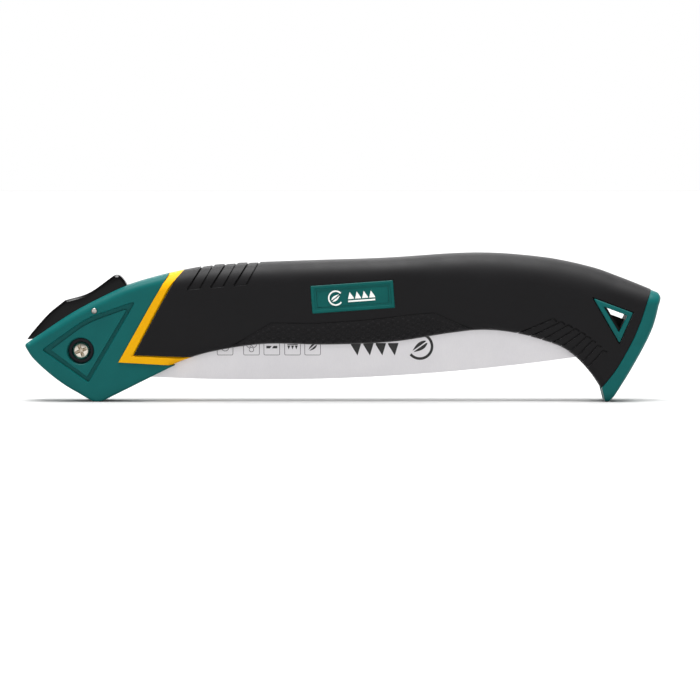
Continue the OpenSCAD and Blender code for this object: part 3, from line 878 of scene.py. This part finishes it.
def build_screw():
    seat = -SCREW_SEAT_Y - WASHER_T
    face = seat - SCREW_HEAD_H
    dome = [(SCREW_HEAD_R * math.sin(a), face + SCREW_DOME_H * (1 - math.cos(a)))
            for a in steps(0.02, math.pi / 2, 14)]
    shank = [(SCREW_HEAD_R, seat - 0.15), (SCREW_HEAD_R - 0.15, seat), (SCREW_R, seat),
             (SCREW_R, SCREW_END_Y - 0.3), (SCREW_R - 0.3, SCREW_END_Y), (0, SCREW_END_Y)]
    screw = cleaned(carved(turned([(0, face)] + dome + shank), cross_recess(face)))
    placed("pivot_bolt", screw, "handle", "nickel_screw", ["pivot_screw"])


def build_nut():
    collar = NUT_SEAT_Y + NUT_H
    crown = turned([(0, NUT_SEAT_Y - 1), (5.2, NUT_SEAT_Y - 1), (5.2, collar - 0.6), (4.1, collar + 0.05),
                    (0, collar + 0.05)])
    nut = carved(nut_hexagon(NUT_FLAT, NUT_SEAT_Y, collar), [crown], "INTERSECT")
    top = collar + NUT_COLLAR_H
    ring = turned([(0, collar - 0.5), (3.7, collar - 0.5), (3.7, top - 0.3), (3.4, top), (0, top)])
    bore = rod(SCREW_R + 0.01, 0, OUTSIDE)
    cup = rod(3.2, collar + 0.3, OUTSIDE)
    nut = cleaned(carved(carved(nut, [ring], "UNION"), [bore, cup]))
    placed("lock_nut", nut, "handle", "nickel_screw", ["pivot_nut"])
    insert = washer(SCREW_R + 0.02, 3.18, collar + 0.32, top - 0.1, 0.2)
    placed("lock_nut_insert", insert, "handle", "nylon_ring", ["nut_lock_ring"])


# A pin's dished and rounded end, as (radius, depth)
PIN_END = [(0, 0.25), (0.7, 0.15), (PIN_R - 0.35, 0), (PIN_R, 0.3)]


def build_pivot():
    build_screw()
    build_nut()
    for name, seat, node in (("screw_head_washer", -SCREW_SEAT_Y - WASHER_T, "screw_washer"),
                             ("nut_seat_washer", NUT_SEAT_Y - WASHER_T, "nut_washer")):
        ring = washer(SCREW_R + 0.1, RECESS_R - 0.5, seat, seat + WASHER_T)
        placed(name, ring, "handle", "dark_steel", [node])
    tube = washer(SCREW_R + 0.05, BUSHING_R, -BUSHING_LEFT, BUSHING_RIGHT, 0.3)
    placed("bushing_tube", tube, "handle", "brass_bushing", ["pivot_bushing"])
    for side, middle in zip(SIDES, (-THRUST_Y, THRUST_Y)):
        disc = washer(BUSHING_R + 0.06, THRUST_R, middle - THRUST_T / 2, middle + THRUST_T / 2)
        placed(f"thrust_disc_{side}", disc, "handle", "nylon_washer", [f"thrust_washer_{side}"])
    for name, centre, y0, y1, node in (("fold_stop_pin", polar(STOP_R, STOP_ANGLE), -4.8, 7, "stop_pin"),
                                       ("lever_hinge_pin", LEVER_AXIS, -10.9, 10.9, "lever_pin")):
        ends = [(r, y0 + d) for r, d in PIN_END] + [(r, y1 - d) for r, d in PIN_END[::-1]]
        placed(name, turned(ends, centre, 32), "handle", "steel_pin", [node])


def build_spring():
    """A coil with closed end turns, drawn at one length, though the real one shortens under the lever. Its
    foot stands in the head.
    """
    sides, per_turn = 12, 28
    count = SPRING_TURNS * per_turn
    low, high = SPRING_BOTTOM + WIRE_R, SPRING_TOP - WIRE_R
    rings = []
    for i in range(count + 1):
        share = i / count
        closed = 0.5 - 0.5 * math.cos(math.pi * share)
        z = low + (high - low) * (0.55 * share + 0.45 * closed)
        out = Vector((*polar(1, 360 * i / per_turn), 0))
        centre = Vector((SPRING_X, 0, z)) + out * SPRING_R
        rings.append([centre + out * (WIRE_R * math.cos(b)) + Vector((0, 0, WIRE_R * math.sin(b)))
                      for b in steps(0, 2 * math.pi, sides)[:-1]])
    spring = placed("lever_coil", loft(rings), "handle", "spring_wire", ["lever_spring"])
    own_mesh(spring)


# --- Lock lever ---

LEVER_NOSE = [(-26.6, 5.6), (-24.1, 8.9), (-15.9, 18.1), (-8.1, 24.5)]
LEVER_REST = [(-8.1, 24.5), (3.7, 28.2), (15.4, 36.3)]
LEVER_HUMP = [(15.4, 36.3), (16.3, 36.9), (17.6, 37.1), (19.2, 36.6), (21.4, 34.2), (22.7, 31.4),
              (22.4, 29.2), (21.5, 27.2)]
LEVER_BELLY = [(6.8, 15.7), (1, 15.4), (-3, 15.9), (-8.8, 13.4)]
# Corners of the tooth, as (distance out from its tip, distance aside)
LEVER_TOOTH = [(1.6, -2.2), (0, -1.7), (0, 1.7), (2.6, 2.2)]
# The bevel, as (depth from the lever's side, how far the top is drawn in). The rest has a quarter of it.
LEVER_BEVEL = [(0, 1.25), (0.08, 1.1), (1.1, 0.12), (1.3, 0)]


def lever_outline():
    """The lever's top, from its nose over thumb rest and hump, and its underside back to the nose."""
    top = [(x, height_at(LEVER_NOSE, x)) for x in steps(LEVER_NOSE[0][0], LEVER_NOSE[-1][0], 20)]
    top += [(x, height_at(LEVER_REST, x)) for x in steps(-7.2, LEVER_REST[-1][0], 24)]
    top += smooth_path(LEVER_HUMP, 3)[1:]
    tip = TANG_R + 0.3
    tooth = [polar(aside, LOCK_ANGLE + 90, polar(tip + out, LOCK_ANGLE)) for out, aside in LEVER_TOOTH]
    return top, [(13, 27.2), (12.4, 18)] + smooth_path(LEVER_BELLY, 4) + tooth + [(-26, 5.45)]


def build_lever():
    top, underside = lever_outline()
    outline = top + underside
    broad = range(2, len(top) - 2)
    shares = [1.0 if i in broad else 0.25 for i in range(len(outline))]
    levels = [(LEVER_HALF_W - depth, grown(outline, [-share * drawn_in for share in shares]))
              for depth, drawn_in in LEVER_BEVEL]
    body = cleaned(carved(stack(both_levels(levels)), [rod(PIN_R + 0.04, -10, 10, LEVER_AXIS, 32)]))
    placed("thumb_lever", body, "lever", "black_lever", ["lock_lever"], 30)


# --- Blade ---

GULLET, GULLET_DROP, GRIND = 0.12, 0.15, 0.55
TIP_L = 4.0
NECK_LINE = [(8, 11.4), (20, 13.2), (29, 15.4), (34, 19.6)]
TIP_LINE = [(BLADE_REACH - 0.3, 17.6), (BLADE_REACH - 1, 10), (BLADE_REACH - 3.6, 2),
            (BLADE_REACH - 6.5, -2)]
HEEL_LINE = [(29.4, -11.6), (28.5, -9.4), (28.5, -4.4), (26.9, -2.8), (17, -2.8), (13.4, -4.3), (9, -9)]


def blade_side(side):
    """The blade's outline on one face. Each tooth is ground on one face only, turn and turn about."""
    first, last = TOOTH_LINE[0][0], BLADE_REACH - TIP_L
    teeth = []
    for i in range(int((last - first) / TOOTH_PITCH)):
        x = first + i * TOOTH_PITCH
        ground = GRIND if (i % 2 == 0) == (side > 0) else 0.0
        root = height_at(TOOTH_LINE, x) - GULLET_DROP
        tip_x = x + TOOTH_PITCH * 0.5
        tip = height_at(TOOTH_LINE, tip_x) + TOOTH_H
        inset, bevel_z = GULLET + ground * 0.8, root + ground * 0.4
        teeth += [(x + GULLET, root), (x + inset, bevel_z), (tip_x, tip - ground * 1.3),
                  (x + TOOTH_PITCH - inset, bevel_z)]
    tip_edge = smooth_path([(last, height_at(TOOTH_LINE, last))] + TIP_LINE, 4)
    spine = [(x, SPINE_LOW[1] + (x - SPINE_LOW[0]) ** 2 / (2 * SPINE_R)) for x in steps(243, 32, 60)]
    return NECK_LINE + teeth + tip_edge + spine + HEEL_LINE


def notch(angle):
    """A notch for the lever's tooth in the tang's rim."""
    floor_r = TANG_R - NOTCH_DEPTH
    corners = ((floor_r, -2.3), (TANG_R + 1, -2.9), (TANG_R + 1, 2.9), (floor_r, 2.3))
    return slab([polar(aside, angle + 90, polar(r, angle)) for r, aside in corners], -2, 2)


def stop_slot():
    """The half-round slot in the tang that the stop pin runs in."""
    half_w, start, end = PIN_R + 0.15, STOP_ANGLE, STOP_ANGLE + 180
    outline = arc(STOP_R + half_w, start, end, 40)
    outline += arc(half_w, end, end + 180, 10, polar(STOP_R, end))[1:-1]
    outline += arc(STOP_R - half_w, end, start, 40)
    outline += arc(half_w, start - 180, start, 10, polar(STOP_R, start))[1:-1]
    return slab(outline, -2, 2)


def build_blade():
    t = BLADE_HALF_T
    left, right = blade_side(-1), blade_side(1)
    rim = [(TANG_R - 0.1, -t), (TANG_R, -t + 0.1), (TANG_R, t - 0.1), (TANG_R - 0.1, t)]
    tang = turned([(0, -t)] + rim + [(0, t)], sides=96)
    bar = stack([(-t, left), (-t + 0.25, left), (t - 0.25, right), (t, right)])
    notch_at = LOCK_ANGLE + LOCK_DRIFT
    blade = carved(carved(bar, [tang], "UNION"),
                   [notch(notch_at), notch(notch_at + 180), stop_slot(), rod(BUSHING_R + 0.06, -2, 2)])
    placed("toothed_blade", cleaned(blade), "blade", "blade_steel", ["saw_blade"], 12)
    placed("blade_prints", joined(blade_prints()), "blade", "print_black")


ICON_HALF, ICON_Z = 4, 1.45
PRINT_MARK, PRINT_MARK_AT = 6.0, (166.5, 1.8)


def icons():
    """Pictograms up to 6 mm across, as (x, outlines): a ring, logs, a cut branch, saw teeth and a leaf."""
    branch = [(-2.7, -0.6), (-0.9, -0.6), (-0.1, 0.6), (-2.7, 0.6)]
    bar = [(-2.6, -1.5), (2.6, -1.5), (2.6, -1.1), (-2.6, -1.1)]
    return [
        (70.6, [ribbon(arc(1.9, 0, 350, 24), 0.3)]),
        (83.6, [ribbon(arc(1.1, 0, 350, 16, c), 0.28) for c in ((-1.3, -1), (1.3, -1), (0, 1.25))]),
        (93.6, [branch, [(-x, -z) for x, z in branch], ribbon([(-2.2, -2.4), (2.2, -2.4)], 0.3)]),
        (103.8, [bar] + [[(x, -0.8), (x + 1.5, -0.8), (x + 0.75, 1.2)] for x in (-2.6, -0.75, 1.1)]),
        (113.7, [turned_points(half, 40, (-2, -1.7)) for half in leaf(5.2, 1.9)]),
    ]


def blade_prints():
    """Prints on the left face, thin as paint and upright when unfolded: framed pictograms and the mark."""
    y0, y1 = -BLADE_HALF_T - 0.02, -BLADE_HALF_T + 0.1

    def printed(outline, centre):
        return slab(turned_points(outline, 180, centre), y0, y1)

    border = rounded(rectangle(ICON_HALF, ICON_HALF), 0.8, 4)
    made = []
    for x, outlines in icons():
        centre = (x, ICON_Z)
        inside = plank(turned_points(grown(border, -0.25), 180, centre))
        made.append(carved(printed(border, centre), [inside]))
        made += [printed(outline, centre) for outline in outlines]
    return made + [printed(outline, PRINT_MARK_AT) for outline in mark_outlines(PRINT_MARK)]


# --- Materials ---

GRAIN_SHARE = 0.35              # the fine grain's part beside the blotches
COLOUR_SPAN = (0.45, 0.95)      # noise that gives the darker and the lighter colour
ROUGH_SPAN = (0.3, 0.9)         # noise that gives the least and the most roughness
MAP_SOCKETS = ("From Min", "From Max", "To Min", "To Max")


def linear(r, g, b):
    """An sRGB colour of 0 to 255 as the shader's linear one."""
    def one(c):
        c /= 255
        return c / 12.92 if c <= 0.04045 else ((c + 0.055) / 1.055) ** 2.4
    return (one(r), one(g), one(b), 1.0)


def wire(tree, node, inputs):
    """A shader node with each of these inputs linked to a socket or set to a value."""
    for name, source in inputs.items():
        if isinstance(source, bpy.types.NodeSocket):
            tree.links.new(source, node.inputs[name])
        else:
            node.inputs[name].default_value = source
    return node


def add_node(tree, kind, inputs):
    return wire(tree, tree.nodes.new("ShaderNode" + kind), inputs)


def surface(name, dark, light, rough, grain_mm, bump_mm, stretch=(1, 1, 1), metallic=0.0,
            specular=0.5, blotch_mm=18.0, sheen=0.0):
    """A procedural material: blotches between two colours, uneven roughness and a fine surface grain."""
    material = bpy.data.materials.new(name)
    material.use_nodes = True
    tree = material.node_tree
    where = tree.nodes.new("ShaderNodeTexCoord").outputs["Object"]
    stretched = add_node(tree, "Mapping", {"Vector": where, "Scale": stretch}).outputs["Vector"]

    def noise(source, size_mm, detail):
        inputs = {"Vector": source, "Scale": 1 / (size_mm * MM), "Detail": detail}
        return add_node(tree, "TexNoise", inputs).outputs["Fac"]

    blotch, grain = noise(where, blotch_mm, 4.0), noise(stretched, grain_mm, 3.0)
    total = tree.nodes.new("ShaderNodeMath")
    total.operation = "MULTIPLY_ADD"
    both = wire(tree, total, {0: grain, 1: GRAIN_SHARE, 2: blotch}).outputs[0]
    ramp = add_node(tree, "ValToRGB", {"Fac": both})
    for element, position, colour in zip(ramp.color_ramp.elements, COLOUR_SPAN, (dark, light)):
        element.position = position
        element.color = colour
    spread = add_node(tree, "MapRange", dict(zip(MAP_SOCKETS, ROUGH_SPAN + rough), Value=both))
    bumps = add_node(tree, "Bump", {"Strength": 1.0, "Distance": bump_mm * MM, "Height": grain})
    wire(tree, tree.nodes["Principled BSDF"], {
        "Base Color": ramp.outputs["Color"], "Roughness": spread.outputs["Result"],
        "Normal": bumps.outputs["Normal"], "Metallic": metallic, "Specular IOR Level": specular,
        "Sheen Weight": sheen, "Sheen Roughness": 0.35})
    return material


METAL = {"metallic": 1.0}
# Material slots, and two prints, as (name, darker and lighter sRGB colour, least and most roughness,
# size of the grain and depth of the bumps in mm, other settings)
LOOKS = {
    "green_plastic": ("moulded_green", (2, 84, 83), (5, 92, 90), (0.36, 0.48), 0.45, 0.02,
                      {"specular": 0.14}),
    "badge_green": ("badge_green", (2, 80, 77), (5, 90, 86), (0.34, 0.44), 0.6, 0.01, {"specular": 0.12}),
    "black_grip": ("soft_black", (10, 9, 11), (15, 14, 16), (0.46, 0.6), 0.35, 0.03,
                   {"specular": 0.17, "sheen": 0.15}),
    "yellow_plastic": ("moulded_yellow", (224, 160, 0), (230, 170, 0), (0.4, 0.5), 0.5, 0.02,
                       {"specular": 0.1}),
    "mark_white": ("mark_white", (240, 240, 236), (250, 250, 248), (0.4, 0.5), 0.5, 0.01,
                   {"specular": 0.2}),
    "black_lever": ("lever_black", (5, 4, 5), (9, 8, 9), (0.14, 0.22), 0.6, 0.006, {"specular": 0.2}),
    "blade_steel": ("ground_steel", (206, 204, 207), (222, 220, 222), (0.34, 0.46), 0.18, 0.004,
                    {"stretch": (1, 1, 0.12), "metallic": 1.0, "blotch_mm": 30}),
    "nickel_screw": ("nickel", (205, 196, 182), (225, 218, 206), (0.14, 0.26), 0.3, 0.006, METAL),
    "dark_steel": ("dark_steel", (40, 40, 43), (56, 56, 60), (0.4, 0.55), 0.3, 0.006, METAL),
    "brass_bushing": ("brass", (196, 158, 92), (212, 176, 110), (0.24, 0.36), 0.3, 0.006, METAL),
    "steel_pin": ("pin_steel", (170, 165, 160), (196, 190, 186), (0.28, 0.4), 0.3, 0.01, METAL),
    "spring_wire": ("spring_steel", (176, 176, 180), (200, 200, 204), (0.22, 0.34), 0.2, 0.005, METAL),
    "nylon_ring": ("nylon_blue", (40, 96, 176), (52, 110, 190), (0.4, 0.5), 0.5, 0.01, {}),
    "nylon_washer": ("nylon_white", (226, 224, 214), (238, 236, 228), (0.4, 0.52), 0.5, 0.01, {}),
    "print_black": ("print_black", (18, 17, 18), (28, 27, 28), (0.4, 0.55), 0.4, 0.003, {}),
}


# --- Stage ---

PICTURE = 700
PIXEL_MM = 0.4925       # one pixel of the picture, at the saw's middle plane
VIEW_DISTANCE = 2.2
VIEW_HEIGHT_DEG = 3.0
VIEW_CENTRE = Vector((132.1, 0, 0.0))
SENSOR = 36.0
CEILING_LIGHT = 0.2
BAND_EDGE = (0.28, 0.5)         # the sky fades from its white band to its ceiling between these heights
# Each lamp is a far soft disc: name, strength, width and lean from overhead to the back, in degrees
LAMPS = [("overhead", 6.4, 40, -4), ("rim", 1.5, 36, 46)]
FLOOR_GREY, FLOOR_HALF = 0.44, 6.0


def add_camera():
    data = bpy.data.cameras.new("camera")
    data.sensor_width = SENSOR
    data.lens = SENSOR * VIEW_DISTANCE / (PICTURE * PIXEL_MM * MM)
    camera = in_scene("camera", data)
    target = TO_ROW @ VIEW_CENTRE
    rise = math.radians(VIEW_HEIGHT_DEG)
    back = Vector((0, -math.cos(rise), math.sin(rise)))
    camera.location = target + back * VIEW_DISTANCE
    camera.rotation_euler = (-back).to_track_quat("-Z", "Y").to_euler()
    bpy.context.scene.camera = camera


def add_sky():
    """A white band round the horizon and a dim ceiling over it, as in a tent with a dark roof."""
    world = bpy.data.worlds.new("studio")
    world.use_nodes = True
    tree = world.node_tree
    where = tree.nodes.new("ShaderNodeTexCoord").outputs["Generated"]
    height = add_node(tree, "SeparateXYZ", {"Vector": where}).outputs["Z"]
    light = BAND_EDGE + (1.0, CEILING_LIGHT)
    fade = add_node(tree, "MapRange", dict(zip(MAP_SOCKETS, light), Value=height))
    wire(tree, tree.nodes["Background"], {"Color": (1, 1, 1, 1), "Strength": fade.outputs["Result"]})
    bpy.context.scene.world = world


def add_stage():
    bpy.context.scene.view_settings.view_transform = "Standard"
    add_sky()
    mesh = bpy.data.meshes.new("floor")
    mesh.from_pydata([(x, y, 0) for x, y in rectangle(FLOOR_HALF, FLOOR_HALF)], [], [[0, 1, 2, 3]])
    greys = [(level, level, level, 1.0) for level in (FLOOR_GREY, FLOOR_GREY + 0.02)]
    mesh.materials.append(surface("pale_floor", *greys, (0.7, 0.8), 4, 0.01))
    floor = in_scene("floor", mesh)
    for name, strength, width, lean in LAMPS:
        lamp = bpy.data.lights.new(name, "SUN")
        lamp.energy = strength
        lamp.angle = math.radians(width)
        in_scene(name, lamp).rotation_euler = (-math.radians(lean), 0, 0)


# --- Build ---

add_camera()
looks = {slot: surface(name, linear(*dark), linear(*light), *finish, **extra)
         for slot, (name, dark, light, *finish, extra) in LOOKS.items()}
for build in (build_handle_core, build_grip, build_band, build_butt, build_badges, build_eyelets,
              build_pivot, build_spring, build_lever, build_blade, add_stage):
    build()
